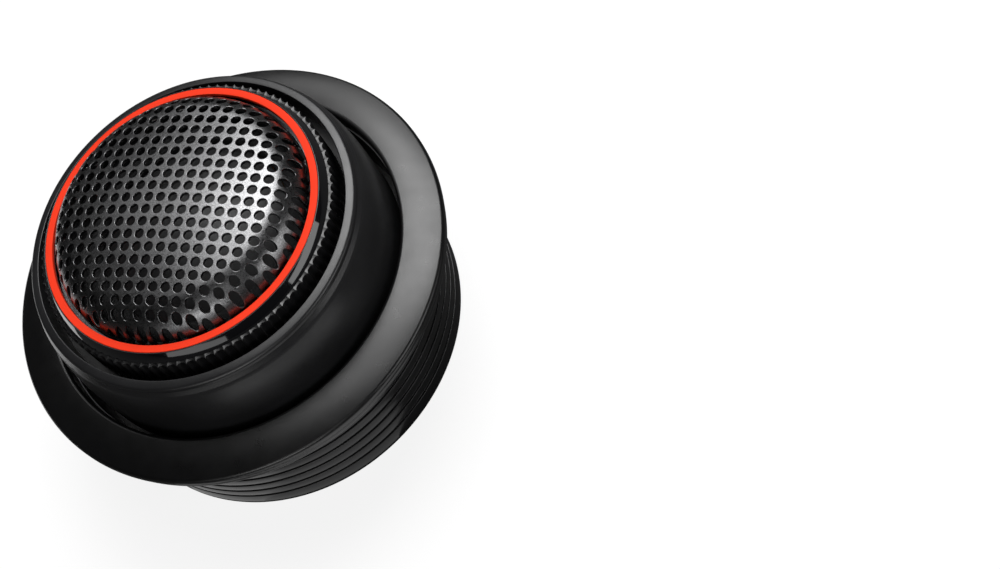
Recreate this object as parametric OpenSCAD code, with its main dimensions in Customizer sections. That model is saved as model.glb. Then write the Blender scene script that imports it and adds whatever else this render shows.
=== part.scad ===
// Aimable flush-mount car tweeter: a domed capsule in a ball swivel, held by a flanged cup.
// Millimetres. +Z points out of the grille, and the origin is the centre of the cup's rear face.

/* [Mounting cup] */
// Outer diameter of the flange
flange_d = 60; // [58:0.5:64]
// Diameter of the barrel that passes through the panel
barrel_d = 51.5; // [51:0.1:51.8]
// Depth of the barrel behind the flange seat
barrel_depth = 17; // [17:0.5:20]
// Wall thickness of the barrel
barrel_wall = 1.5; // [1.3:0.1:1.6]
// Number of grip grooves round the barrel
groove_count = 6; // [3:1:6]
// Distance from one grip groove to the next
groove_pitch = 1.88; // [1.6:0.02:1.9]

/* [Swivel] */
// Outer diameter of the raised collar
collar_d = 46.8; // [46.4:0.1:46.8]
// Greatest tilt of the swivel each way, in degrees
tilt_max = 10; // [5:1:10]
// Diameter of the hidden ball
ball_d = 39.6; // [39.4:0.1:39.6]

/* [Capsule] */
// Number of scallops in the knurled edge
knurl_count = 100; // [80:1:110]
// Turn that frees the bayonet lugs, in degrees
twist_travel = 25; // [15:1:30]
// Distance between grille holes, centre to centre
hole_pitch = 1.657; // [1.6:0.001:1.8]
// Diameter of one grille hole
hole_d = 1.23; // [1.0:0.01:1.3]
// Thickness of the grille metal
grille_t = 0.5; // [0.4:0.05:0.6]

/* [Hidden] */
$fn = 96;
eps = 0.01;
fit = 0.05;        // running clearance of sliding and turning fits

// Heights, counted up from the rear face of the cup
seat_z = barrel_depth;            // flange seat, against the panel
flange_z = seat_z + 0.95;         // top of the cup's own flange
edge_z = seat_z + 1.78;           // widest level of the trim ring's rounded edge
swivel_z = seat_z;                // centre of the ball, on the flange seat level
neck_z = seat_z + 12.1;           // top of the collar's plain neck
lip_z = seat_z + 13.3;            // inner edge of the collar's lip
shelf_z = seat_z + 8.6;           // top of the shelf inside the collar
shelf_t = 1.2;                    // thickness of that shelf
knurl_z = seat_z + 14.6;          // flat top of the knurled ring
ring_z = seat_z + 15.94;          // top of the accent ring
apex_z = seat_z + 20.97;          // top of the grille

// Radii of the cup
flange_r = flange_d / 2;
barrel_r = barrel_d / 2;
bore_r = barrel_r - barrel_wall;
opening_r = 24.48;                // opening of the trim ring, wider than the collar so that it can tilt
crown_r = 17;                     // radius of the crowned front of the trim ring, in section
crown_x = 23.42;                  // radius at which that crown is highest
crown_z = seat_z - 13.49;
edge_r = 0.6;                     // rounding of the trim ring's outer edge
rib_r = 26.6;                     // inner radius of the rib that locates the trim ring
rib_w = 0.8;
rib_h = 0.95;
socket_in = ball_d / 2 + 1.05;    // bore that the friction liner turns in
socket_out = socket_in + 1;
socket_top = seat_z + 3;
socket_floor = seat_z - 5.6;
web_z = seat_z - 8;
web_t = 1.2;
clip_z = seat_z + 1.8;            // underside of the snap ring
clip_t = 0.7;

// Rear cover, its screws and the filter board
cover_t = 1.4;
boss_r = 2.3;
boss_at = 21.3;
boss_angles = [90, 210, 330];
screw_r = 0.8;
head_r = 1.9;
board_z = 3.2;
board_t = 1;
post_at = 9;

// Collar, ball and capsule
collar_r = collar_d / 2;
neck_top_r = 22.64;
neck_base_z = seat_z + 4;         // level below which the collar is a plain cylinder
skirt_in = collar_r - 0.8;
skirt_reach = 2.6;                // level above the ball's centre that the tilted skirt still covers
skirt_z = swivel_z - (collar_r * sin(tilt_max) - skirt_reach) / cos(tilt_max);
lip_in = 21.05;
ball_r = ball_d / 2;
ball_t = 1.2;
ball_low = seat_z - 8.5;
spigot_r = 18.15;
body_r = 17;                      // outer radius of the capsule's lower body
body_z = seat_z - 4.5;
lug_r = body_r + 0.7;
lug_z = seat_z + 6.05;
lug_h = 1.1;
lug_angle = 14;
lug_starts = [10, 130, 250];      // angle at which each lug begins
knurl_r = 19.98;
scallop_r = 0.76;
scallop_at = 20.41;
cavity_r = 18.65;
step_z = seat_z + 9.6;
bezel_r = 19.41;                  // foot of the gloss bezel
ring_in = 17.58;
ring_out = 18.54;
ring_t = 0.5;

// Grille dome
dome_sphere = 64;                 // radius of the gentle dome
corner_r = 5;                     // rounding at the grille's edge
grille_r = 17.1;
corner_x = grille_r - corner_r;
dome_z = apex_z - dome_sphere;    // centre of the dome's sphere
corner_z = dome_z + sqrt(pow(dome_sphere - corner_r, 2) - pow(corner_x, 2));
grille_foot = seat_z + 13.5;

// Driver
yoke_r = 15.2;
yoke_in = 13.35;
yoke_low = seat_z - 3.5;
yoke_top = seat_z + 8.5;
magnet_r = 11.8;
magnet_z = yoke_low + 2.5;
pole_r = 12.25;
pole_z = magnet_z + 5.8;
pole_top = yoke_top - 0.4;
vent_r = 2;
former_in = 12.5;
former_out = 12.7;
coil_out = 13.05;
cone_z = seat_z + 11.3;           // level at which dome, former and surround meet
dome_rise = 4.3;
skin_t = 0.25;

// A ring section: inner radius, outer radius, lower and upper level
module band(r0, r1, z0, z1) {
    translate([r0, z0]) square([r1 - r0, z1 - z0]);
}

// A plain ring about the axis
module ring(r0, r1, z0, z1) {
    rotate_extrude() band(r0, r1, z0, z1);
}

// A sector of a ring, from angle a, a span wide
module sector(r0, r1, z0, z1, a, span) {
    rotate([0, 0, a]) rotate_extrude(angle = span) band(r0, r1, z0, z1);
}

// A disc of the section circle, at a radius and a level
module dot(x, z, r) {
    translate([x, z]) circle(r = r);
}

// ---- Cup ----

module mounting_cup() {
    recess_z = seat_z + 0.4;
    groove_w = 0.4;
    groove_depth = 0.25;
    first_groove = seat_z - 5.05;
    color([0.07, 0.07, 0.075]) difference() {
        union() {
            rotate_extrude() {
                polygon([[bore_r, 0], [barrel_r - 0.4, 0], [barrel_r, 0.4], [barrel_r, seat_z + eps],
                    [bore_r, seat_z + eps]]);
                polygon([[bore_r, seat_z], [flange_r - 0.45, seat_z], [flange_r - 0.25, seat_z + 0.2],
                    [flange_r - 0.25, flange_z], [bore_r, flange_z]]);
                band(rib_r, rib_r + rib_w, flange_z - eps, flange_z + rib_h);
                band(socket_in, socket_out, web_z, socket_top);
                band(socket_in - 1.25, socket_out, socket_floor - 1, socket_floor);
                band(socket_in - 1.25, bore_r + eps, web_z, web_z + web_t);
                band(socket_in - 1.25, socket_in + eps, web_z, socket_floor);
            }
            for (a = boss_angles)
                rotate([0, 0, a]) translate([boss_at, 0, cover_t + fit])
                    cylinder(r = boss_r, h = web_z - cover_t);
        }
        rotate_extrude() {
            for (i = [0 : groove_count - 1])
                band(barrel_r - groove_depth, barrel_r + 1, first_groove - i * groove_pitch - groove_w / 2,
                    first_groove - i * groove_pitch + groove_w / 2);
            band(26.2, 28.8, seat_z - 1, recess_z);
            band(socket_in - 0.5, socket_in + 0.5, clip_z - fit, clip_z + clip_t + fit);
        }
        for (a = boss_angles)
            rotate([0, 0, a]) translate([boss_at, 0, -eps]) cylinder(r = screw_r, h = 7.2);
    }
}

module trim_ring() {
    tangent_x = crown_x + (flange_r - edge_r - crown_x) * crown_r / (crown_r - edge_r);
    parting_w = 0.7;
    parting_h = 0.14;
    color([0.1, 0.1, 0.105]) rotate_extrude() difference() {
        union() {
            intersection() {
                band(opening_r, tangent_x, flange_z, apex_z);
                dot(crown_x, crown_z, crown_r);
            }
            dot(flange_r - edge_r, edge_z, edge_r);
            band(tangent_x - 0.1, flange_r, flange_z, edge_z);
        }
        band(flange_r - parting_w, flange_r + 1, flange_z - 1, flange_z + parting_h);
        band(rib_r - 0.1, rib_r + rib_w + 0.1, flange_z - 1, flange_z + rib_h + 0.1);
        difference() {
            band(opening_r - 1, opening_r + 0.5, edge_z + 1, apex_z);
            dot(opening_r + 0.5, edge_z + 1.1, 0.5);
            band(opening_r + 0.5 - eps, opening_r + 1, edge_z, apex_z);
        }
    }
}

module panel_gasket() {
    color([0.16, 0.16, 0.17]) ring(26.25, 28.75, seat_z, seat_z + 0.4);
}

module snap_ring() {
    color([0.55, 0.56, 0.58])
        sector(socket_in - 0.75, socket_in + 0.45, clip_z, clip_z + clip_t, 8, 344);
}

module rear_cover() {
    hole_r = 3.5;
    pocket_r = 4.9;
    pocket_h = 0.72;
    color([0.08, 0.08, 0.085]) difference() {
        union() {
            ring(0, bore_r - fit, 0, cover_t);
            for (s = [-1, 1])
                translate([s * post_at, 0, cover_t - eps]) cylinder(r = 1.6, h = board_z - cover_t + eps);
        }
        translate([0, 0, -1]) cylinder(r = hole_r, h = 4);
        translate([0, 0, -1]) cylinder(r = pocket_r, h = 1 + pocket_h);
        for (a = boss_angles)
            rotate([0, 0, a]) translate([boss_at, 0, 0]) {
                translate([0, 0, -1]) cylinder(r = screw_r + 0.1, h = 4);
                translate([0, 0, -1]) cylinder(r = head_r + 0.1, h = 1.9);
            }
        for (s = [-1, 1])
            translate([s * post_at, 0, 1]) cylinder(r = 0.5, h = 4);
    }
}

module cover_screws() {
    head_t = 0.75;
    color([0.35, 0.35, 0.36])
        for (a = boss_angles)
            rotate([0, 0, a]) translate([boss_at, 0, 0.9 - head_t]) difference() {
                union() {
                    cylinder(r = head_r, h = head_t);
                    cylinder(r = screw_r, h = head_t + 5.6);
                }
                for (q = [0, 90])
                    rotate([0, 0, q]) translate([-0.95, -0.2, -1]) cube([1.9, 0.4, 1.45]);
            }
}

module wire_grommet() {
    color([0.12, 0.12, 0.12]) rotate_extrude() {
        band(2, 4.6, 0.1, 0.72);
        band(2, 3.48, 0.1, 2.1);
        band(2, 4.3, cover_t, 2.1);
    }
}

module filter_board() {
    color([0.12, 0.3, 0.16]) difference() {
        translate([-11.5, -11.5, board_z]) cube([23, 18, board_t]);
        for (s = [-1, 1])
            translate([s * post_at, 0, 0]) cylinder(r = 0.6, h = 9);
        translate([0, 0, 0]) cylinder(r = 3, h = 9);
    }
}

module filter_capacitor() {
    can_r = 2;
    color([0.1, 0.12, 0.3])
        translate([-5.5, -8, board_z + board_t + can_r]) rotate([0, 90, 0]) rotate_extrude() {
            band(0, can_r, 0, 9.6);
            band(0, can_r - 0.25, 0, 11);
        }
}

module board_screws() {
    color([0.6, 0.6, 0.62])
        for (s = [-1, 1])
            translate([s * post_at, 0, 0]) {
                translate([0, 0, board_z + board_t]) cylinder(r = 1.3, h = 0.8);
                translate([0, 0, 1.2]) cylinder(r = 0.5, h = board_z + board_t - 1);
            }
}

// ---- Swivel ----

module friction_liner() {
    split = 8;
    color([0.8, 0.8, 0.76])
        rotate([0, 0, split / 2]) rotate_extrude(angle = 360 - split) difference() {
            band(0, socket_in - fit, socket_floor + fit, clip_z - fit);
            dot(0, swivel_z, ball_r + fit);
        }
}

module swivel_collar() {
    neck_h = neck_z - neck_base_z;
    neck_drop = collar_r - neck_top_r;
    neck_arc = (neck_h * neck_h + neck_drop * neck_drop) / (2 * neck_drop);
    lip_out = 22.3;
    lip_fall = 0.3;                   // the lip slopes down towards its outer edge
    color([0.06, 0.06, 0.065]) rotate_extrude() {
        intersection() {
            dot(collar_r - neck_arc, neck_base_z, neck_arc);
            band(lip_in, collar_r, shelf_z - shelf_t, neck_z);
        }
        band(skirt_in, collar_r, skirt_z, neck_base_z);
        intersection() {
            dot(collar_r - neck_arc, neck_base_z, neck_arc);
            band(skirt_in, collar_r, neck_base_z - eps, neck_z - 4);
        }
        band(spigot_r + fit, lip_in + 1, shelf_z - shelf_t, shelf_z);
        difference() {
            band(lip_in, lip_out, neck_z - eps, lip_z);
            polygon([[lip_in, lip_z], [lip_out, lip_z - lip_fall], [lip_out, lip_z]]);
        }
    }
}

module swivel_ball() {
    top = shelf_z - shelf_t;
    color([0.1, 0.1, 0.11]) difference() {
        rotate_extrude() {
            difference() {
                intersection() {
                    dot(0, swivel_z, ball_r);
                    band(body_r + fit, ball_r + 1, ball_low, top);
                }
                intersection() {
                    dot(0, swivel_z, ball_r - ball_t);
                    band(0, ball_r + 1, ball_low - 1, lug_z - 2);
                }
            }
            band(body_r + fit, spigot_r, top - eps, shelf_z - fit);
        }
        for (a = lug_starts) {
            sector(body_r - 1, lug_r + 0.1, lug_z - fit, lug_z + lug_h + fit, a - 1,
                twist_travel + lug_angle + 2);
            sector(body_r - 1, lug_r + 0.1, lug_z + lug_h / 2, shelf_z + 1, a + twist_travel - 0.6,
                lug_angle + 1.2);
        }
    }
}

// ---- Capsule ----

module capsule_housing() {
    low = shelf_z + fit;
    color([0.08, 0.08, 0.085]) {
        difference() {
            translate([0, 0, low]) linear_extrude(knurl_z - low) difference() {
                circle(r = knurl_r);
                for (i = [0 : knurl_count - 1])
                    rotate(i * 360 / knurl_count) translate([scallop_at, 0]) circle(r = scallop_r, $fn = 48);
            }
            translate([0, 0, step_z]) cylinder(r = cavity_r, h = knurl_z);
            translate([0, 0, low - 1]) cylinder(r = body_r - 1, h = 9);
        }
        ring(yoke_r + fit, body_r, body_z, low + 0.5);
        for (a = lug_starts)
            sector(body_r - 0.5, lug_r, lug_z, lug_z + lug_h, a, lug_angle);
    }
}

module gloss_bezel() {
    lip_r = ring_out + 0.05;
    top = ring_z - 0.06;
    color([0.02, 0.02, 0.025]) rotate_extrude() polygon([
        [ring_in - 0.08, knurl_z - 0.55], [ring_in - 0.08, ring_z - ring_t], [lip_r, ring_z - ring_t],
        [lip_r, top], [lip_r + 0.08, top], [bezel_r, knurl_z + 0.04], [bezel_r, knurl_z],
        [cavity_r - fit, knurl_z], [cavity_r - fit, knurl_z - 2.9], [cavity_r - 0.6, knurl_z - 2.9],
        [cavity_r - 0.6, knurl_z - 0.55]]);
}

module accent_ring() {
    color([0.95, 0.2, 0.08]) rotate_extrude() polygon([
        [ring_in, ring_z - ring_t], [ring_in, ring_z - 0.03], [ring_in + 0.05, ring_z],
        [ring_out - 0.05, ring_z - 0.02], [ring_out, ring_z - 0.06], [ring_out, ring_z - ring_t]]);
}

// Solid of the grille's outer shape, moved in by an inset
module grille_form(inset) {
    cap_x = corner_x * dome_sphere / (dome_sphere - corner_r);
    rotate_extrude() {
        intersection() {
            dot(0, dome_z, dome_sphere - inset);
            band(0, cap_x, grille_foot - 1, apex_z);
        }
        dot(corner_x, corner_z, corner_r - inset);
        band(0, grille_r - inset, grille_foot - 1, corner_z);
    }
}

module grille() {
    rows = 10;
    foot_t = 0.45;
    reach = grille_r + 0.25;          // the outermost holes are cut by the edge
    color([0.45, 0.45, 0.46]) {
        difference() {
            grille_form(0);
            grille_form(grille_t);
            translate([0, 0, grille_foot - 4]) cylinder(r = grille_r + 1, h = 4);
            translate([0, 0, corner_z]) linear_extrude(apex_z - corner_z + 1)
                for (i = [-rows : rows])
                    for (j = [-rows : rows])
                        if (norm([i, j]) * hole_pitch < reach)
                            translate([i, j] * hole_pitch) circle(d = hole_d, $fn = 24);
        }
        ring(grille_r - grille_t, grille_r + 0.85, grille_foot, grille_foot + foot_t);
    }
}

module dispersion_ring() {
    color([0.07, 0.07, 0.075]) rotate_extrude() polygon([
        [15.7, cone_z + 0.25], [16.5, grille_foot - fit], [grille_r + 0.85, grille_foot - fit],
        [grille_r + 0.85, cone_z + 0.25]]);
}

module surround_frame() {
    color([0.2, 0.2, 0.21]) ring(15.3, cavity_r - 0.65, step_z, cone_z);
}

module surround() {
    roll_x = 14.1;
    roll_r = 1.3;
    color([0.13, 0.13, 0.14]) rotate_extrude() {
        difference() {
            dot(roll_x, cone_z, roll_r);
            dot(roll_x, cone_z, roll_r - skin_t);
            band(0, 20, cone_z - 3, cone_z);
        }
        band(roll_x + roll_r - skin_t, 16.6, cone_z, cone_z + skin_t);
    }
}

module yoke_cup() {
    color([0.5, 0.5, 0.52]) rotate_extrude() {
        band(vent_r, yoke_r, yoke_low, magnet_z);
        band(yoke_in, yoke_r, yoke_low, yoke_top);
    }
}

module magnet() {
    color([0.7, 0.7, 0.73]) ring(vent_r, magnet_r, magnet_z, pole_z);
}

module pole_plate() {
    color([0.55, 0.55, 0.57]) rotate_extrude() polygon([
        [vent_r, pole_z], [pole_r - 0.4, pole_z], [pole_r, pole_z + 0.4], [pole_r, pole_top],
        [vent_r, pole_top]]);
}

module damping_pad() {
    color([0.25, 0.25, 0.27]) ring(vent_r, 9.5, pole_top, pole_top + 1.2);
}

module terminal_plate() {
    color([0.3, 0.2, 0.12]) difference() {
        ring(vent_r, yoke_r, body_z, yoke_low - fit);
        for (s = [-1, 1])
            translate([s * 6 - 1.5, -0.3, 0]) cube([3, 0.6, 20]);
    }
}

module terminal_tabs() {
    color([0.85, 0.7, 0.3])
        for (s = [-1, 1])
            difference() {
                translate([s * 6 - 1.4, -0.25, body_z - 3.6]) cube([2.8, 0.5, 4.4]);
                translate([s * 6, 1, body_z - 2.4]) rotate([90, 0, 0]) cylinder(r = 0.6, h = 2);
            }
}

// ---- Moving dome ----

module dome() {
    sphere_r = (former_out * former_out + dome_rise * dome_rise) / (2 * dome_rise);
    centre_z = cone_z + dome_rise - sphere_r;
    color([0.75, 0.75, 0.77]) rotate_extrude() intersection() {
        difference() {
            dot(0, centre_z, sphere_r);
            dot(0, centre_z, sphere_r - skin_t);
        }
        band(0, 20, cone_z, apex_z);
    }
}

module coil_former() {
    color([0.8, 0.72, 0.5]) ring(former_in, former_out, pole_z + 0.4, cone_z);
}

module voice_coil() {
    color([0.8, 0.45, 0.2]) ring(former_out, coil_out, pole_z + 0.6, yoke_top + 0.1);
}

mounting_cup();
trim_ring();
panel_gasket();
snap_ring();
rear_cover();
cover_screws();
wire_grommet();
filter_board();
filter_capacitor();
board_screws();
friction_liner();
swivel_collar();
swivel_ball();
capsule_housing();
gloss_bezel();
accent_ring();
grille();
dispersion_ring();
surround_frame();
surround();
yoke_cup();
magnet();
pole_plate();
damping_pad();
terminal_plate();
terminal_tabs();
dome();
coil_former();
voice_coil();
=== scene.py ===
"""The looks of an aimable flush-mount car tweeter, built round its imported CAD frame.

Metres, in the frame's own axes: +Z points out of the grille, and z = 0 is the cup's rear face.
Each visible shell is a fine mesh that stands for a CAD node and keeps inside that node's place.
"""

import math

import bmesh
import bpy
from mathutils import Matrix, Vector
from mathutils.geometry import delaunay_2d_cdt


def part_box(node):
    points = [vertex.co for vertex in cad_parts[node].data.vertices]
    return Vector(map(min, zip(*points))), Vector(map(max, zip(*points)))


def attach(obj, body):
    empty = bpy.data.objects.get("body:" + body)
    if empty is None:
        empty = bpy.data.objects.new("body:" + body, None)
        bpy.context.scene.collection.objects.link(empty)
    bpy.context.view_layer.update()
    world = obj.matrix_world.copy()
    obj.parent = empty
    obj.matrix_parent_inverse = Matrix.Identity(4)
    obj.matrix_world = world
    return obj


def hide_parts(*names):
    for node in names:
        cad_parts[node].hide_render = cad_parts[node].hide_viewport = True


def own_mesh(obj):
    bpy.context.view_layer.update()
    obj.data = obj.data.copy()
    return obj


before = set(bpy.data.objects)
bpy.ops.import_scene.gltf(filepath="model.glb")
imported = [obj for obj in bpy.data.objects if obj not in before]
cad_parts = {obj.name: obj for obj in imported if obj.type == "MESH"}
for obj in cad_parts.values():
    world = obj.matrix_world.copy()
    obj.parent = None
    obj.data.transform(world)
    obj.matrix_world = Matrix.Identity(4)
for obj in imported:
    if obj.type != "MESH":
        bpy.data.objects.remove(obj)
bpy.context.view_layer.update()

MM = 0.001
STEPS = 384  # columns round a full turn of a large shell
EIGHTHS = [k * math.pi / 8 for k in range(1, 5)]  # angles along a quarter circle


# ---- Mesh tools -------------------------------------------------------------------------------


def fillet(corners, steps=5):
    """An outline of (radius, height) whose corners (radius, height, rounding) are rounded, in mm."""
    outline = []
    for i, corner in enumerate(corners):
        here = Vector(corner[:2])
        rounding = corner[2] if len(corner) > 2 else 0
        if not rounding:
            outline.append(tuple(here))
            continue
        back = (Vector(corners[i - 1][:2]) - here).normalized()
        ahead = (Vector(corners[(i + 1) % len(corners)][:2]) - here).normalized()
        half = back.angle(ahead) / 2
        centre = here + (back + ahead).normalized() * rounding / math.sin(half)
        start = here + back * rounding / math.tan(half) - centre
        sweep = start.angle_signed(here + ahead * rounding / math.tan(half) - centre)
        for k in range(steps + 1):
            outline.append(tuple(centre + Matrix.Rotation(-sweep * k / steps, 2) @ start))
    return outline


def arc(x, z, radius, start, end, steps):
    """Points on a circle in the section plane, from one angle to another in degrees, in mm."""
    angles = [math.radians(start + (end - start) * k / steps) for k in range(steps + 1)]
    return [(x + radius * math.cos(a), z + radius * math.sin(a)) for a in angles]


class Shell:
    """Collects the vertices and faces of one piece. Sizes go in as mm."""

    def __init__(self):
        self.verts = []
        self.faces = []
        self.normals = {}

    def add(self, points):
        """Adds points and returns the numbers of their vertices."""
        first = len(self.verts)
        self.verts += [tuple(c * MM for c in p) for p in points]
        return list(range(first, len(self.verts)))

    def circle(self, r, z, steps=STEPS, at=(0, 0)):
        angles = [2 * math.pi * i / steps for i in range(steps)]
        return self.add([(at[0] + r * math.cos(a), at[1] + r * math.sin(a), z) for a in angles])

    def bridge(self, a, b):
        """Faces between two closed rows of vertices."""
        n = len(a)
        self.faces += [(a[i], a[(i + 1) % n], b[(i + 1) % n], b[i]) for i in range(n)]

    def strip(self, a, b):
        """Faces between two open rows of vertices."""
        self.faces += [(a[i], a[i + 1], b[i + 1], b[i]) for i in range(len(a) - 1)]

    def loft(self, rows, joined=False):
        """Faces from each closed row to the next, and from the last to the first if they're joined."""
        for a, b in zip(rows, rows[1:] + (rows[:1] if joined else [])):
            self.bridge(a, b)

    def turn(self, outline, steps=STEPS, at=(0, 0)):
        """A closed outline of (radius, height) turned about an upright axis."""
        self.loft([self.circle(r, z, steps, at) for r, z in outline], joined=True)

    def sheet(self, border, holes, inner=(), bites=()):
        """Fills the area inside a border and outside the holes, all loops of vertices already there.

        A bite is a run of the border's own vertices that curves inwards, like part of a hole.
        """
        loops = [border, *holes]
        ids = [v for loop in loops for v in loop] + list(inner)
        place = {v: i for i, v in enumerate(ids)}
        edges = [(place[a], place[b]) for p in loops for a, b in zip(p, p[1:] + p[:1])]
        flat = [Vector(self.verts[v][:2]) / MM for v in ids]
        _, _, tris, source, _, _ = delaunay_2d_cdt(flat, edges, [], 0, 1e-6)
        owners = {v: set() for v in ids}
        for n, run in enumerate([*holes, *bites]):
            for v in run:
                owners[v].add(n)
        for t in tris:
            face = tuple(ids[source[v][0]] for v in t)
            if not set.intersection(*(owners[v] for v in face)):
                self.faces.append(face)

    def sector(self, outline, start, span, steps=16):
        """An outline turned through part of a turn, in degrees, and closed at both ends."""
        rows = []
        for i in range(steps + 1):
            a = math.radians(start + span * i / steps)
            rows.append(self.add([(r * math.cos(a), r * math.sin(a), z) for r, z in outline]))
        self.loft(rows)
        self.faces += [tuple(rows[0]), tuple(rows[-1])]


def piece(name, shell, body, material, stands_for=(), crease=38):
    """Makes the shell an object that rides on a body and stands for CAD nodes."""
    mesh = bpy.data.meshes.new(name)
    mesh.from_pydata(shell.verts, [], shell.faces)
    work = bmesh.new()
    work.from_mesh(mesh)
    bmesh.ops.recalc_face_normals(work, faces=work.faces)
    for face in work.faces:
        face.smooth = True
    work.to_mesh(mesh)
    work.free()
    mesh.set_sharp_from_angle(angle=math.radians(crease))
    if shell.normals:
        custom = [shell.normals.get(loop.vertex_index, (0, 0, 0)) for loop in mesh.loops]
        mesh.normals_split_custom_set(custom)
    mesh.materials.append(material)
    obj = bpy.data.objects.new(name, mesh)
    bpy.context.scene.collection.objects.link(obj)
    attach(obj, body)
    if stands_for:
        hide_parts(*stands_for)
    return obj


# ---- Materials --------------------------------------------------------------------------------


class Paint:
    """A principled material with procedural detail in object coordinates, scaled to mm."""

    def __init__(self, name, colour, roughness, metallic=0.0, specular=0.5, coat=0.0, coat_rough=0.1):
        self.material = bpy.data.materials.new(name)
        self.material.use_nodes = True
        self.tree = self.material.node_tree
        self.shader = self.tree.nodes["Principled BSDF"]
        self.shader.inputs["Base Color"].default_value = (*colour, 1)
        self.shader.inputs["Roughness"].default_value = roughness
        self.shader.inputs["Metallic"].default_value = metallic
        self.shader.inputs["Specular IOR Level"].default_value = specular
        self.shader.inputs["Coat Weight"].default_value = coat
        self.shader.inputs["Coat Roughness"].default_value = coat_rough
        self.colour = colour
        self.roughness = roughness
        self.height = None
        self.material.diffuse_color = (*colour, 1)

    def node(self, kind, **values):
        node = self.tree.nodes.new(kind)
        for key, value in values.items():
            if hasattr(node, key):
                setattr(node, key, value)
            else:
                node.inputs[key.replace("_", " ")].default_value = value
        return node

    def link(self, source, target):
        self.tree.links.new(source, target)

    def place(self):
        """Object coordinates in mm."""
        spot = self.node("ShaderNodeTexCoord")
        scale = self.node("ShaderNodeMapping")
        scale.inputs["Scale"].default_value = (1 / MM, 1 / MM, 1 / MM)
        self.link(spot.outputs["Object"], scale.inputs["Vector"])
        return scale.outputs["Vector"]

    def noise(self, size, detail):
        """Noise whose features are about size mm."""
        tex = self.node("ShaderNodeTexNoise", Scale=1 / size, Detail=detail)
        self.link(self.place(), tex.inputs["Vector"])
        return tex.outputs["Fac"]

    def cells(self, size):
        """Rounded cells about size mm across."""
        tex = self.node("ShaderNodeTexVoronoi", Scale=1 / size)
        self.link(self.place(), tex.inputs["Vector"])
        return tex.outputs["Distance"]

    def ramp(self, value, low, high, start=0.3, end=0.7):
        """Maps a value from start..end to low..high."""
        span = self.node("ShaderNodeMapRange")
        for key, number in zip(("From Min", "From Max", "To Min", "To Max"), (start, end, low, high)):
            span.inputs[key].default_value = number
        self.link(value, span.inputs["Value"])
        return span.outputs["Result"]

    def tint(self, value, other):
        """The colour runs to another one where value is high."""
        mix = self.node("ShaderNodeMix", data_type="RGBA")
        mix.inputs[6].default_value = (*self.colour, 1)
        mix.inputs[7].default_value = (*other, 1)
        self.link(value, mix.inputs[0])
        self.link(mix.outputs[2], self.shader.inputs["Base Color"])

    def gloss(self, value, spread):
        """The roughness wanders by spread each way."""
        self.link(self.ramp(value, self.roughness - spread, self.roughness + spread),
            self.shader.inputs["Roughness"])

    def relief(self, value, depth, strength=1.0):
        """Adds a bump of that depth in mm."""
        bump = self.node("ShaderNodeBump")
        bump.inputs["Strength"].default_value = strength
        bump.inputs["Distance"].default_value = depth * MM
        self.link(value, bump.inputs["Height"])
        if self.height:
            self.link(self.height, bump.inputs["Normal"])
        self.height = bump.outputs["Normal"]
        self.link(self.height, self.shader.inputs["Normal"])


def moulded(name, tone, roughness, grain=0.09, depth=0.004):
    """Moulded black plastic: a fine spark-eroded grain and a slow drift of gloss and tone."""
    paint = Paint(name, (tone, tone, tone * 1.06), roughness)
    paint.tint(paint.ramp(paint.noise(7, 3), 0, 1), (tone * 1.5, tone * 1.5, tone * 1.6))
    paint.gloss(paint.noise(2.5, 4), 0.03)
    paint.relief(paint.noise(grain, 3), depth)
    return paint.material


trim_black = moulded("trim_satin", 0.003, 0.30)
cup_black = moulded("cup_satin", 0.006, 0.30, grain=0.12)
collar_black = moulded("collar_satin", 0.010, 0.32, grain=0.08, depth=0.003)
knurl_black = moulded("knurl_satin", 0.006, 0.30, grain=0.06, depth=0.003)
inner_black = moulded("inner_matt", 0.012, 0.55)

piano = Paint("piano_black", (0.004, 0.004, 0.005), 0.06, coat=0.6, coat_rough=0.03)
piano.gloss(piano.noise(1.2, 3), 0.015)
piano.relief(piano.noise(4, 2), 0.004, 0.25)

orange = Paint("accent_orange", (0.92, 0.048, 0.016), 0.5, specular=0.06)
orange.tint(orange.ramp(orange.noise(3, 3), 0, 1), (0.88, 0.045, 0.015))
orange.relief(orange.noise(0.25, 3), 0.003, 0.6)

metal = Paint("grille_metal", (0.105, 0.105, 0.107), 0.30, metallic=1.0)
metal.tint(metal.ramp(metal.noise(0.10, 5), 0, 1, 0.38, 0.62), (0.22, 0.22, 0.224))
metal.gloss(metal.noise(0.3, 3), 0.05)
metal.relief(metal.noise(0.08, 4), 0.006)

cloth = Paint("surround_cloth", (0.008, 0.008, 0.009), 0.85)
cloth.relief(cloth.cells(0.22), 0.05)
cloth.tint(cloth.ramp(cloth.cells(0.22), 0, 1), (0.014, 0.014, 0.015))

silk = Paint("dome_silk", (0.014, 0.014, 0.015), 0.5, coat=0.3, coat_rough=0.3)
silk.relief(silk.cells(0.18), 0.03)
silk.tint(silk.ramp(silk.noise(1.5, 3), 0, 1), (0.022, 0.022, 0.023))

foam = Paint("gasket_foam", (0.018, 0.018, 0.019), 0.9)
foam.relief(foam.cells(0.15), 0.05)
foam.tint(foam.ramp(foam.noise(0.3, 3), 0, 1), (0.03, 0.03, 0.031))

rubber = Paint("grommet_rubber", (0.012, 0.012, 0.012), 0.6)
rubber.gloss(rubber.noise(0.8, 3), 0.06)
rubber.relief(rubber.noise(0.1, 3), 0.006)

blackened = Paint("screw_black", (0.05, 0.05, 0.052), 0.38, metallic=0.9)
blackened.tint(blackened.ramp(blackened.noise(0.4, 4), 0, 1), (0.10, 0.10, 0.10))
blackened.relief(blackened.noise(0.12, 3), 0.004)


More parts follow.
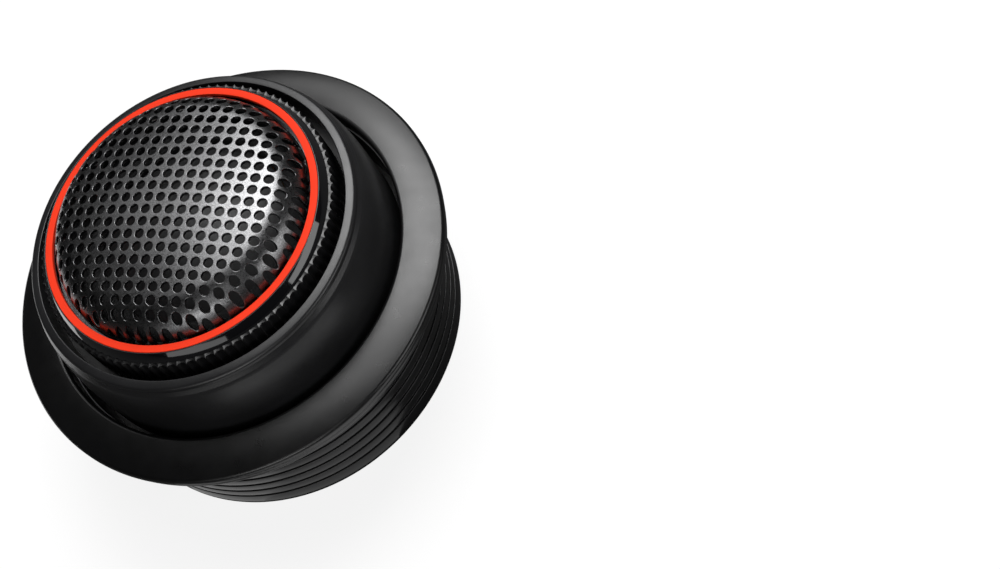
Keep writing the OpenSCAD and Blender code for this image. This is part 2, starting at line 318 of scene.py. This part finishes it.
def bare(name, colour, roughness, metallic, size, depth):
    """A plain part inside: its own colour with a mottled tone and a fine surface."""
    paint = Paint(name, colour, roughness, metallic=metallic)
    paint.tint(paint.ramp(paint.noise(size * 6, 3), 0, 1), tuple(c * 0.8 for c in colour))
    paint.relief(paint.noise(size, 3), depth)
    return paint.material


INSIDE = {
    "snap_ring": bare("spring_steel", (0.45, 0.46, 0.48), 0.3, 1.0, 0.1, 0.003),
    "filter_board": bare("board_green", (0.02, 0.11, 0.05), 0.45, 0.0, 0.2, 0.004),
    "filter_capacitor": bare("capacitor_sleeve", (0.02, 0.03, 0.12), 0.3, 0.0, 0.5, 0.003),
    "board_screws": bare("zinc", (0.62, 0.63, 0.66), 0.3, 1.0, 0.1, 0.003),
    "friction_liner": bare("nylon_ivory", (0.62, 0.61, 0.54), 0.4, 0.0, 0.3, 0.003),
    "swivel_ball": inner_black,
    "dispersion_ring": inner_black,
    "surround_frame": inner_black,
    "yoke_cup": bare("yoke_steel", (0.40, 0.40, 0.42), 0.35, 1.0, 0.15, 0.004),
    "magnet": bare("magnet_nickel", (0.60, 0.59, 0.56), 0.2, 1.0, 0.4, 0.002),
    "pole_plate": bare("pole_steel", (0.42, 0.42, 0.44), 0.35, 1.0, 0.15, 0.004),
    "damping_pad": bare("felt_grey", (0.10, 0.10, 0.11), 0.95, 0.0, 0.15, 0.06),
    "terminal_plate": bare("phenolic", (0.16, 0.07, 0.03), 0.4, 0.0, 0.3, 0.003),
    "terminal_tabs": bare("tab_brass", (0.80, 0.58, 0.20), 0.25, 1.0, 0.15, 0.002),
    "coil_former": bare("kapton", (0.50, 0.26, 0.04), 0.3, 0.0, 0.5, 0.002),
    "voice_coil": bare("copper_wire", (0.75, 0.30, 0.12), 0.3, 1.0, 0.06, 0.02),
}
for node, material in INSIDE.items():
    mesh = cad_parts[node].data
    mesh.materials.clear()
    mesh.materials.append(material)
    for face in mesh.polygons:
        face.material_index = 0


# ---- Levels and radii, from the frame --------------------------------------------------------


def top(node):
    """Height of a CAD node's highest point in mm; low and reach give its lowest and its farthest in X."""
    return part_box(node)[1].z / MM


def low(node):
    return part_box(node)[0].z / MM


def reach(node):
    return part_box(node)[1].x / MM


flange_r = reach("trim_ring")
flange_z = low("trim_ring")
seat_z = low("panel_gasket")
collar_r = reach("swivel_collar")
knurl_z = top("capsule_housing")
ring_z = top("accent_ring")
apex_z = top("grille")
foot_z = low("grille")
barrel_r = 25.75
bore_r = 24.25
rib_in, rib_out, rib_z = 26.6, 27.4, flange_z + 0.95
screw_circle = 21.3
screw_at = [(screw_circle * math.cos(math.radians(a)), screw_circle * math.sin(math.radians(a)))
    for a in (90, 210, 330)]


# ---- Cup --------------------------------------------------------------------------------------


def make_cup():
    groove_half, groove_depth, groove_round = 0.24, 0.3, 0.09
    first_groove, groove_pitch, grooves = seat_z - 5.05, 1.88, 6
    socket_in, socket_out, socket_z = 20.85, 21.85, seat_z + 3
    stop_in, stop_z, web_z, web_top = 19.6, seat_z - 5.6, seat_z - 8, seat_z - 6.8
    clip_low, clip_top, clip_r = seat_z + 1.75, seat_z + 2.55, 21.35
    recess_in, recess_out, recess_z, edge_r = 26.2, 28.8, seat_z + 0.4, flange_r - 0.25
    corners = [(bore_r, 0, 0.1), (barrel_r, 0, 0.12)]
    for i in reversed(range(grooves)):
        z = first_groove - i * groove_pitch
        corners += [
            (barrel_r, z - groove_half, groove_round), (barrel_r - groove_depth, z - groove_half, 0.05),
            (barrel_r - groove_depth, z + groove_half, 0.05), (barrel_r, z + groove_half, groove_round)]
    corners += [
        (barrel_r, seat_z, 0.12), (recess_in, seat_z, 0.05), (recess_in, recess_z), (recess_out, recess_z),
        (recess_out, seat_z, 0.05), (edge_r, seat_z, 0.28), (edge_r, flange_z, 0.14),
        (rib_out, flange_z), (rib_out, rib_z, 0.1), (rib_in, rib_z, 0.1), (rib_in, flange_z),
        (bore_r, flange_z, 0.1), (bore_r, web_top), (socket_out, web_top), (socket_out, socket_z, 0.15),
        (socket_in, socket_z, 0.15), (socket_in, clip_top), (clip_r, clip_top), (clip_r, clip_low),
        (socket_in, clip_low), (socket_in, stop_z), (stop_in, stop_z), (stop_in, web_z), (bore_r, web_z)]
    cup = Shell()
    cup.turn(fillet(corners, 3))
    boss_bore, boss_r, boss_low, boss_top = 0.8, 2.3, 1.45, web_z + 0.3
    for at in screw_at:
        cup.turn(fillet([(boss_bore, boss_low), (boss_r, boss_low, 0.15), (boss_r, boss_top),
            (boss_bore, boss_top)]), 48, at)
    piece("cup_shell", cup, "cup", cup_black, ["mounting_cup"])


def make_trim():
    crown_x, crown_z, crown_r = 23.42, seat_z - 13.49, 17
    opening, inner_round, edge_round = 24.48, 0.5, 0.6
    edge_x, edge_z = flange_r - edge_round, seat_z + 1.78
    inner_x, inner_z = opening + inner_round, edge_z + 1.1
    outer = math.degrees(math.atan2(edge_z - crown_z, edge_x - crown_x))
    inner = math.degrees(math.atan2(inner_z - crown_z, inner_x - crown_x))
    gap_top, gap_in = flange_z + 0.26, flange_r - 0.7
    outline = arc(inner_x, inner_z, inner_round, 180, inner, 10)
    outline += arc(crown_x, crown_z, crown_r, inner, outer, 40)
    outline += arc(edge_x, edge_z, edge_round, outer, 0, 10)
    outline += [(flange_r, gap_top + 0.06), (flange_r - 0.02, gap_top + 0.02), (flange_r - 0.06, gap_top)]
    outline += [
        (gap_in, gap_top), (gap_in, flange_z), (rib_out + 0.1, flange_z), (rib_out + 0.1, rib_z + 0.1),
        (rib_in - 0.1, rib_z + 0.1), (rib_in - 0.1, flange_z), (opening, flange_z)]
    trim = Shell()
    trim.turn(outline, 512)
    piece("front_trim", trim, "cup", trim_black, ["trim_ring"])


def make_gasket():
    foam_in, foam_out, foam_z = 26.25, 28.75, seat_z + 0.4
    gasket = Shell()
    gasket.turn(fillet([(foam_in, seat_z, 0.1), (foam_out, seat_z, 0.1), (foam_out, foam_z),
        (foam_in, foam_z)]), 256)
    piece("flange_gasket", gasket, "cup", foam.material, ["panel_gasket"])


def make_rear():
    """The rear cover, with counterbores for its screws, a pocket for the grommet and the board's posts."""
    cover_r, cover_t, edge = bore_r - 0.05, 1.4, 0.25
    cover = Shell()
    face = [cover.circle(cover_r - edge, 0, 256)]
    face += [cover.circle(cover_r - edge + edge * math.sin(a), edge - edge * math.cos(a), 256)
        for a in EIGHTHS]
    back = cover.circle(cover_r, cover_t, 256)
    cover.loft([*face, back])
    near, far = [], []

    def bore(at, wide, depth, narrow, steps):
        """A hole with a counterbore whose mouth is rounded."""
        soft = 0.12
        rows = [cover.circle(wide + soft - soft * math.sin(a), soft - soft * math.cos(a), steps, at)
            for a in [0, *EIGHTHS]]
        rows += [cover.circle(wide, depth, steps, at), cover.circle(narrow, depth, steps, at),
            cover.circle(narrow, cover_t, steps, at)]
        cover.loft(rows)
        near.append(rows[0])
        far.append(rows[-1])

    bore((0, 0), 4.9, 0.72, 3.5, 96)
    for at in screw_at:
        bore(at, 2.0, 0.9, 0.9, 64)
    # A shallow moulded ring steps the face down between the screws and the grommet.
    ring = [cover.circle(r, z, 192) for r, z in [
        (17.4, 0), (17.15, 0.06), (17.0, 0.22), (16.9, 0.3), (8.1, 0.3), (8.0, 0.22), (7.85, 0.06), (7.6, 0)]]
    cover.loft(ring)
    cover.sheet(face[0], near[1:] + [ring[0]])
    cover.sheet(ring[-1], [near[0]])
    # The board stands on two posts.
    post_r, post_at, board_z = 1.6, 9, low("filter_board")
    posts = [cover.circle(post_r, cover_t, 32, (side * post_at, 0)) for side in (-1, 1)]
    cover.sheet(back, far + posts)
    for post in posts:
        rise = cover.add([(x / MM, y / MM, board_z) for x, y, _ in (cover.verts[v] for v in post)])
        cover.bridge(post, rise)
        cover.faces.append(tuple(rise))
    piece("rear_plate", cover, "cup", cup_black, ["rear_cover"], 30)


def make_screws():
    """The cover's three screws, each with a cross recess at its own angle."""
    head_r, head_low, head_z, brow, steps = 1.85, 0.9, 0.16, 0.25, 64
    shank_r, shank_z, arm, slot, recess = 0.8, 6.4, 1.0, 0.2, 0.5
    screws = Shell()
    for n, at in enumerate(screw_at):
        shank = [(shank_r, shank_z), (shank_r, head_low), (head_r, head_low), (head_r, head_z + brow)]
        crown = [(head_r - brow * (1 - math.cos(a)), head_z + brow * (1 - math.sin(a))) for a in EIGHTHS]
        rows = [screws.circle(r, z, steps, at) for r, z in shank + crown]
        screws.loft(rows)
        screws.faces.append(tuple(rows[0]))
        cross = [(slot, slot), (slot, arm), (-slot, arm), (-slot, slot), (-arm, slot), (-arm, -slot),
            (-slot, -slot), (-slot, -arm), (slot, -arm), (slot, -slot), (arm, -slot), (arm, slot)]
        spin = Matrix.Rotation(math.radians(25 + 40 * n), 2)
        cross = [Vector(at) + spin @ Vector(c) for c in cross]
        mouth = screws.add([(*c, head_z) for c in cross])
        floor = screws.add([(*(Vector(at) + (c - Vector(at)) * 0.75), head_z + recess) for c in cross])
        screws.bridge(mouth, floor)
        screws.faces.append(tuple(floor))
        # The face round the recess: the triangles between rim and cross, without those over the cross.
        ids = rows[-1] + mouth
        flat = [Vector(screws.verts[v][:2]) / MM for v in ids]
        edges = [(i, (i + 1) % steps) for i in range(steps)]
        edges += [(steps + i, steps + (i + 1) % len(cross)) for i in range(len(cross))]
        _, _, tris, source, _, _ = delaunay_2d_cdt(flat, edges, [], 0, 1e-6)
        for t in tris:
            corner = [source[v][0] for v in t]
            middle = spin.inverted() @ (sum((flat[c] for c in corner), Vector((0, 0))) / 3 - Vector(at))
            if not (min(abs(middle.x), abs(middle.y)) < slot and max(abs(middle.x), abs(middle.y)) < arm):
                screws.faces.append(tuple(ids[c] for c in corner))
    piece("cover_fasteners", screws, "cup", blackened.material, ["cover_screws"], 30)


def make_grommet():
    grommet = Shell()
    grommet.turn(fillet([(2, 0.1, 0.25), (4.6, 0.1, 0.3), (4.6, 0.72, 0.05), (3.48, 0.72), (3.48, 1.4),
        (4.3, 1.4), (4.3, 2.1, 0.15), (2, 2.1, 0.15)], 6), 128)
    piece("cable_grommet", grommet, "cup", rubber.material, ["wire_grommet"])


# ---- Swivel -----------------------------------------------------------------------------------


def make_collar():
    """The bowed neck, its stepped top and the lip, which slopes down outwards to a rounded edge."""
    skirt_in, skirt_z = 22.6, seat_z - 1.5
    neck_base, neck_top, neck_top_r = seat_z + 4, seat_z + 12.1, 22.64
    shelf_z, shelf_low, shelf_in = seat_z + 8.6, seat_z + 7.4, 18.2
    lip_z, lip_in, lip_out, lip_fall, lip_round = seat_z + 13.3, 21.05, 22.3, 0.3, 0.5
    step_low, step_high = neck_top - 0.4, neck_top + 0.2
    rise, drop = neck_top - neck_base, collar_r - neck_top_r
    bow = (rise * rise + drop * drop) / (2 * drop)
    neck_end = math.degrees(math.asin((rise - 0.8) / bow))
    outline = fillet([
        (shelf_in, shelf_z), (shelf_in, shelf_low), (skirt_in, shelf_low), (skirt_in, skirt_z, 0.2),
        (collar_r, skirt_z, 0.3)])[:-1] + [(collar_r, skirt_z + 0.3)]
    outline += arc(collar_r - bow, neck_base, bow, 0, neck_end, 24)
    outline += fillet([
        outline[-1], (neck_top_r, step_low, 0.3), (lip_out, step_high, 0.1),
        (lip_out, lip_z - lip_fall, lip_round), (lip_in, lip_z, 0.1), (lip_in, shelf_z)])[1:]
    collar = Shell()
    collar.turn(outline, 512)
    piece("neck_collar", collar, "swivel", collar_black, ["swivel_collar"])


# ---- Capsule ----------------------------------------------------------------------------------


def make_housing():
    """The capsule's case. Its knurled edge is a row of scallops that meet in cusps."""
    knurls, cusp_r, scallop_r, scallop_at = 100, reach("capsule_housing"), 0.76, 20.41
    base_z, cavity_r, step_z = seat_z + 8.65, 18.65, seat_z + 9.6
    body_r, bore, body_z, sill = 17, 15.25, seat_z - 4.5, 16
    columns, bevel, top_bevel, top_slope = 14, 0.09, 0.03, 0.5
    half = math.acos((cusp_r ** 2 + scallop_at ** 2 - scallop_r ** 2) / (2 * cusp_r * scallop_at))
    edge = []
    for i in range(knurls):
        middle = 2 * math.pi * i / knurls
        flat = math.pi / knurls - half
        if flat > 1e-4:
            edge.append((middle - half - flat, cusp_r))
        for k in range(columns + 1):
            a = -half + 2 * half * k / columns
            r = scallop_at * math.cos(a) - math.sqrt(scallop_r ** 2 - (scallop_at * math.sin(a)) ** 2)
            edge.append((middle + a, r))
    housing = Shell()

    def row(shape):
        return housing.add([(r * math.cos(a), r * math.sin(a), z)
            for a, (r, z) in ((a, shape(edge_r)) for a, edge_r in edge)])

    inner = fillet([(cavity_r, knurl_z, 0.08), (cavity_r, step_z), (sill, step_z), (sill, base_z + 0.5),
        (bore, base_z + 0.5), (bore, body_z, 0.1), (body_r, body_z, 0.2), (body_r, base_z)], 4)
    rows = [row(lambda r, p=p: p) for p in inner]
    rows += [row(lambda r: (r - bevel, base_z)), row(lambda r: (r, base_z + bevel)),
        row(lambda r: (r, knurl_z - bevel - 0.04)), row(lambda r: (r - top_bevel, knurl_z - bevel)),
        row(lambda r: (r - top_slope, knurl_z))]
    housing.loft(rows, joined=True)
    lug_in, lug_out, lug_z, lug_top, lug_span = 16.5, 17.7, seat_z + 6.05, seat_z + 7.15, 14
    lug = [(lug_in, lug_z), (lug_out, lug_z), (lug_out, lug_top), (lug_in, lug_top)]
    for start in (10, 130, 250):
        housing.sector(lug, start, lug_span)
    piece("knurled_housing", housing, "capsule", knurl_black, ["capsule_housing"], 34)


def make_bezel():
    """The gloss ring, and the accent band that is pressed into it."""
    ring_in, ring_out, seat, foot_r, cavity = 17.58, 18.54, ring_z - 0.5, 19.41, 18.6
    lip_r, lip_top, skirt_in, skirt_z = ring_out + 0.05, ring_z - 0.06, 18.05, knurl_z - 2.9
    bead_in, ledge = ring_in - 0.08, knurl_z - 0.55
    bezel = Shell()
    bezel.turn(fillet([
        (bead_in, ledge), (bead_in, seat), (lip_r, seat), (lip_r, lip_top, 0.03),
        (lip_r + 0.1, lip_top, 0.05), (19.06, knurl_z + 0.64, 0.9), (foot_r, knurl_z + 0.02, 0.02),
        (cavity, knurl_z + 0.02), (cavity, skirt_z), (skirt_in, skirt_z), (skirt_in, ledge)], 6), 512)
    piece("gloss_ring", bezel, "capsule", piano.material, ["gloss_bezel"])
    accent = Shell()
    accent.turn(fillet([(ring_in, seat), (ring_in, ring_z, 0.06), (ring_out, ring_z - 0.02, 0.08),
        (ring_out, seat)], 5), 512)
    piece("accent_band", accent, "capsule", orange.material, ["accent_ring"])


def make_grille():
    """The perforated dome: a sheet between its outer and inner faces, with every hole open."""
    sphere_r, corner_r, edge_r, thick = 64, 5, 17.1, 0.5
    pitch, hole_r, lip, rows_out = 1.657, 0.615, 0.07, 10
    sides, columns, bite_steps, bite_points = 28, 540, 6, 20
    spot_step = 2 * math.pi / columns
    corner_x, dome_z = edge_r - corner_r, apex_z - sphere_r
    corner_z = dome_z + math.sqrt((sphere_r - corner_r) ** 2 - corner_x ** 2)
    cap_x = corner_x * sphere_r / (sphere_r - corner_r)

    def surface(x, y):
        """Height and outward normal of the outer face above a point of the plan."""
        r = min(math.hypot(x, y), edge_r)
        if r < cap_x:
            rise = math.sqrt(sphere_r ** 2 - r * r)
            z, out, up = dome_z + rise, r / sphere_r, rise / sphere_r
        else:
            rise = math.sqrt(max(0.0, corner_r ** 2 - (r - corner_x) ** 2))
            z, out, up = corner_z + rise, (r - corner_x) / corner_r, rise / corner_r
        along = (x / r, y / r) if r > 1e-6 else (0, 0)
        return z, Vector((out * along[0], out * along[1], up))

    def layer(points, depth):
        """Vertices on the sheet above plan points, some depth below its outer face."""
        made = []
        for x, y in points:
            z, normal = surface(x, y)
            made += grille.add([Vector((x, y, z)) - normal * depth])
            if depth < 1e-6:
                grille.normals[made[-1]] = tuple(normal)
            elif depth > thick - 1e-6:
                grille.normals[made[-1]] = tuple(-normal)
        return made

    grille = Shell()
    spread = range(-rows_out, rows_out + 1)
    grid = [(i * pitch, j * pitch) for i in spread for j in spread]
    holes = [p for p in grid if math.hypot(*p) < edge_r - hole_r - lip]
    cut = [p for p in grid if edge_r - hole_r - lip <= math.hypot(*p) < edge_r + 0.25]
    taken = {(round(x / pitch), round(y / pitch)) for x, y in holes + cut}

    def clear(x, y, room):
        i, j = round(x / pitch), round(y / pitch)
        return (i, j) not in taken or math.hypot(x - i * pitch, y - j * pitch) > hole_r + lip + room

    around = [(math.cos(2 * math.pi * k / sides), math.sin(2 * math.pi * k / sides)) for k in range(sides)]
    between = [(x + a * pitch, y + b * pitch) for x, y in grid for a, b in ((0.5, 0.5), (0.5, 0), (0, 0.5))]
    between = [p for p in between if math.hypot(*p) < cap_x - 0.1 and clear(*p, 0.03)]
    turns = [math.degrees(math.asin((cap_x - corner_x) / corner_r)) + 5 * k for k in range(16)]
    for turn in [t for t in turns if t < 87]:
        r = corner_x + corner_r * math.sin(math.radians(turn))
        spots = [k * spot_step for k in range(columns)]
        between += [p for p in ((r * math.cos(a), r * math.sin(a)) for a in spots) if clear(*p, 0.05)]

    # Round the rim, each hole that the edge cuts takes a bite out of the sheet.
    bite_r = hole_r + 0.02
    bites = []
    for x, y in cut:
        away, at = math.hypot(x, y), math.atan2(y, x)
        half = math.acos((away ** 2 + edge_r ** 2 - bite_r ** 2) / (2 * away * edge_r))
        swing = math.acos((away ** 2 + bite_r ** 2 - edge_r ** 2) / (2 * away * bite_r))
        turned = [at + math.pi + swing * (1 - 2 * k / bite_points) for k in range(1, bite_points)]
        bites.append((at, half, [(x + bite_r * math.cos(t), y + bite_r * math.sin(t)) for t in turned]))

    def bitten(angle):
        room = 0.4 * spot_step
        return any(abs(math.remainder(angle - at, 2 * math.pi)) < half + room for at, half, _ in bites)

    spots = [(k * spot_step, -1) for k in range(columns) if not bitten(k * spot_step)]
    spots += [(at + half * (2 * k / bite_steps - 1), n) for n, (at, half, _) in enumerate(bites)
        for k in range(bite_steps + 1)]
    spots.sort(key=lambda spot: (spot[0] - math.pi / 4) % (2 * math.pi))
    rim = [(edge_r * math.cos(a), edge_r * math.sin(a)) for a, _ in spots]
    first_of = {}
    for k, (_, n) in enumerate(spots):
        first_of.setdefault(n, k)
    faces = []
    for depth, wide in ((0, hole_r + lip), (thick, hole_r + 0.02)):
        loops = [layer([(x + wide * u, y + wide * v) for u, v in around], depth) for x, y in holes]
        edge, curves = layer(rim, depth), [layer(curve, depth) for _, _, curve in bites]
        border = []
        for k, (_, n) in enumerate(spots):
            if n < 0 or k in (first_of[n], first_of[n] + bite_steps):
                border.append(edge[k])
            if n >= 0 and k == first_of[n]:
                border += curves[n]
        faces.append((border, loops, layer(between, depth), edge, curves))
    (border, loops, inner, edge, curves), (low_border, low_loops, low_inner, low_edge, low_curves) = faces
    first = len(grille.faces)
    ends = [(first_of[n], first_of[n] + bite_steps) for n in range(len(bites))]
    grille.sheet(border, loops, inner, [[edge[a], *curve, edge[b]] for (a, b), curve in zip(ends, curves)])
    twin = dict(zip(border + [v for p in loops for v in p] + inner,
        low_border + [v for p in low_loops for v in p] + low_inner))
    grille.faces += [tuple(twin[v] for v in f) for f in grille.faces[first:]]
    for (a, b), curve, low_curve in zip(ends, curves, low_curves):
        grille.strip([edge[a], *curve, edge[b]], [low_edge[a], *low_curve, low_edge[b]])
        grille.strip(edge[a:b + 1], low_edge[a:b + 1])
    # The wall of each hole, with its rounded upper edge.
    for (x, y), upper, lower in zip(holes, loops, low_loops):
        steps = [upper]
        for a in (math.pi / 6, math.pi / 3, math.pi / 2):
            wide = hole_r + lip * (1 - math.sin(a))
            down = lip * (1 - math.cos(a)) + 1e-5
            steps.append(layer([(x + wide * u, y + wide * v) for u, v in around], down))
        grille.loft([*steps, lower])
    # The skirt under the corner, turned out into the flange that the bezel clamps.
    clamp_r, clamp_z, sheet_in = edge_r + 0.85, foot_z + 0.45, edge_r - thick
    rows = [edge]
    for r, z in [
            (edge_r, clamp_z + 0.07), (edge_r + 0.03, clamp_z + 0.02), (edge_r + 0.12, clamp_z),
            (clamp_r, clamp_z), (clamp_r, foot_z), (sheet_in + 0.1, foot_z), (sheet_in, foot_z + 0.1)]:
        rows.append(grille.add([(r * math.cos(a), r * math.sin(a), z) for a, _ in spots]))
    grille.loft([*rows, low_edge])
    piece("speaker_grille", grille, "capsule", metal.material, ["grille"], 50)


def make_diaphragm():
    """The soft dome, and the half-roll surround round it."""
    rest_z, coil_r, dome_rise, skin, slices = seat_z + 11.3, 12.7, 4.3, 0.25, 32
    sphere_r = (coil_r ** 2 + dome_rise ** 2) / (2 * dome_rise)
    centre_z = rest_z + dome_rise - sphere_r
    upper, lower = [], []
    for k in range(slices + 1):
        a = math.asin(coil_r / sphere_r) * (1 - k / slices)
        upper.append((max(sphere_r * math.sin(a), 0.02), centre_z + sphere_r * math.cos(a)))
        inner = sphere_r - skin
        lower.append((max(inner * math.sin(a), 0.02), centre_z + inner * math.cos(a)))
    dome = Shell()
    top_rows = [dome.circle(r, z, 192) for r, z in upper]
    low_rows = [dome.circle(r, z, 192) for r, z in lower]
    for rows in (top_rows, low_rows):
        dome.loft(rows)
        dome.faces.append(tuple(rows[-1]))
    dome.bridge(top_rows[0], low_rows[0])
    piece("tweeter_dome", dome, "diaphragm", silk.material, ["dome"])

    roll_x, roll_r, land = 14.1, 1.3, 16.6
    outline = arc(roll_x, rest_z, roll_r, 180, 12, 28) + fillet([
        (roll_x + roll_r + 0.05, rest_z + skin, 0.08), (land, rest_z + skin), (land, rest_z),
        (roll_x + roll_r - skin, rest_z, 0.05)])[1:]
    outline += arc(roll_x, rest_z, roll_r - skin, 6, 180, 28)
    surround = Shell()
    surround.turn(outline, 256)
    roll = piece("surround_roll", surround, "capsule", cloth.material, ["surround"])
    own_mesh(roll)


make_cup()
make_trim()
make_gasket()
make_rear()
make_screws()
make_grommet()
make_collar()
make_housing()
make_bezel()
make_grille()
make_diaphragm()


# ---- Floor, light and camera ------------------------------------------------------------------


def softbox(name, azimuth, elevation, wide, tall, power):
    """An area light that faces the collar. Azimuth counts from +X towards +Y, in degrees."""
    distance = 0.9
    a, e = math.radians(azimuth), math.radians(elevation)
    aim = Vector((0, 0, 0.025))
    out = Vector((math.cos(a) * math.cos(e), math.sin(a) * math.cos(e), math.sin(e)))
    data = bpy.data.lights.new(name, "AREA")
    data.shape, data.size, data.size_y = "RECTANGLE", wide, tall
    data.energy = power
    lamp = bpy.data.objects.new(name, data)
    lamp.location = aim + out * distance
    lamp.rotation_mode = "QUATERNION"
    lamp.rotation_quaternion = out.to_track_quat("Z", "Y")
    bpy.context.scene.collection.objects.link(lamp)


def card(name, azimuth, distance, out, across, power):
    """A bright card lying on the floor, facing up; only the part sees it."""
    a = math.radians(azimuth)
    data = bpy.data.lights.new(name, "AREA")
    data.shape, data.size, data.size_y = "RECTANGLE", out, across
    data.energy = power
    lamp = bpy.data.objects.new(name, data)
    lamp.location = (math.cos(a) * distance, math.sin(a) * distance, 0.0005)
    lamp.rotation_euler = (math.pi, 0, a)
    lamp.visible_camera = False
    bpy.context.scene.collection.objects.link(lamp)


def make_floor():
    mesh = bpy.data.meshes.new("studio_floor")
    half = 3.0
    mesh.from_pydata([(-half, -half, -1e-4), (half, -half, -1e-4), (half, half, -1e-4), (-half, half, -1e-4)],
        [], [(0, 1, 2, 3)])
    floor = bpy.data.objects.new("studio_floor", mesh)
    bpy.context.scene.collection.objects.link(floor)
    paint = Paint("floor_pale", (0.16, 0.16, 0.16), 0.8, specular=0.1)
    paint.tint(paint.ramp(paint.noise(60, 3), 0, 1), (0.15, 0.15, 0.15))
    paint.shader.inputs["Emission Color"].default_value = (1, 1, 1, 1)
    paint.shader.inputs["Emission Strength"].default_value = 0.86
    # The floor is pale to the eye, and dim to the blacks, which would grey over beside it.
    dim = paint.node("ShaderNodeBsdfDiffuse")
    dim.inputs["Color"].default_value = (0.07, 0.07, 0.07, 1)
    ray, mix = paint.node("ShaderNodeLightPath"), paint.node("ShaderNodeMixShader")
    paint.link(ray.outputs["Is Camera Ray"], mix.inputs[0])
    paint.link(dim.outputs[0], mix.inputs[1])
    paint.link(paint.shader.outputs[0], mix.inputs[2])
    paint.link(mix.outputs[0], paint.tree.nodes["Material Output"].inputs["Surface"])
    mesh.materials.append(paint.material)


make_floor()
# The low boxes and the strips draw the short reflections on the gloss ring, the overhead one lights the
# grille and the right of the flange, and the cards put a soft sheen on the neck and the barrel.
softbox("low_right", 2, 4, 0.66, 0.14, 0.7)
softbox("low_front", -87, 3, 0.60, 0.14, 0.35)
softbox("front_strip", -75, 20, 0.50, 0.24, 1.4)
softbox("right_strip", -8, 19, 0.50, 0.24, 1.2)
softbox("overhead", 84, 56, 0.60, 0.50, 7.2)
softbox("back_high", 138, 52, 0.40, 0.40, 0.45)
softbox("top", 90, 78, 0.50, 0.40, 1.8)
softbox("high_front", -65, 46, 0.50, 0.36, 0.4)
softbox("back_strip", 105, 30, 0.50, 0.24, 0.9)
card("left_card", 180, 0.085, 0.07, 0.07, 0.02)
card("front_card", -72, 0.027, 0.012, 0.04, 0.0006)
card("side_card", -118, 0.027, 0.012, 0.04, 0.0003)
card("near_card", -48, 0.05, 0.03, 0.06, 0.004)

world = bpy.data.worlds.new("studio")
bpy.context.scene.world = world
world.use_nodes = True
world.node_tree.nodes["Background"].inputs["Color"].default_value = (1, 1, 1, 1)
world.node_tree.nodes["Background"].inputs["Strength"].default_value = 0.02

lens = bpy.data.cameras.new("view")
lens.lens, lens.sensor_width = 66.84, 36
lens.clip_start, lens.clip_end = 0.01, 20
camera = bpy.data.objects.new("view", lens)
camera.location = (0.11797, -0.09317, 0.21185)
aim, roll = Vector((0.03827, -0.00162, 0.019)), math.radians(-34.83)
back = (camera.location - aim).normalized()
camera.rotation_mode = "QUATERNION"
camera.rotation_quaternion = back.to_track_quat("Z", "Y")
camera.rotation_quaternion = (
    Matrix.Rotation(roll, 3, back).to_quaternion() @ camera.rotation_quaternion)
bpy.context.scene.collection.objects.link(camera)
bpy.context.scene.camera = camera
bpy.context.scene.view_settings.view_transform = "Standard"
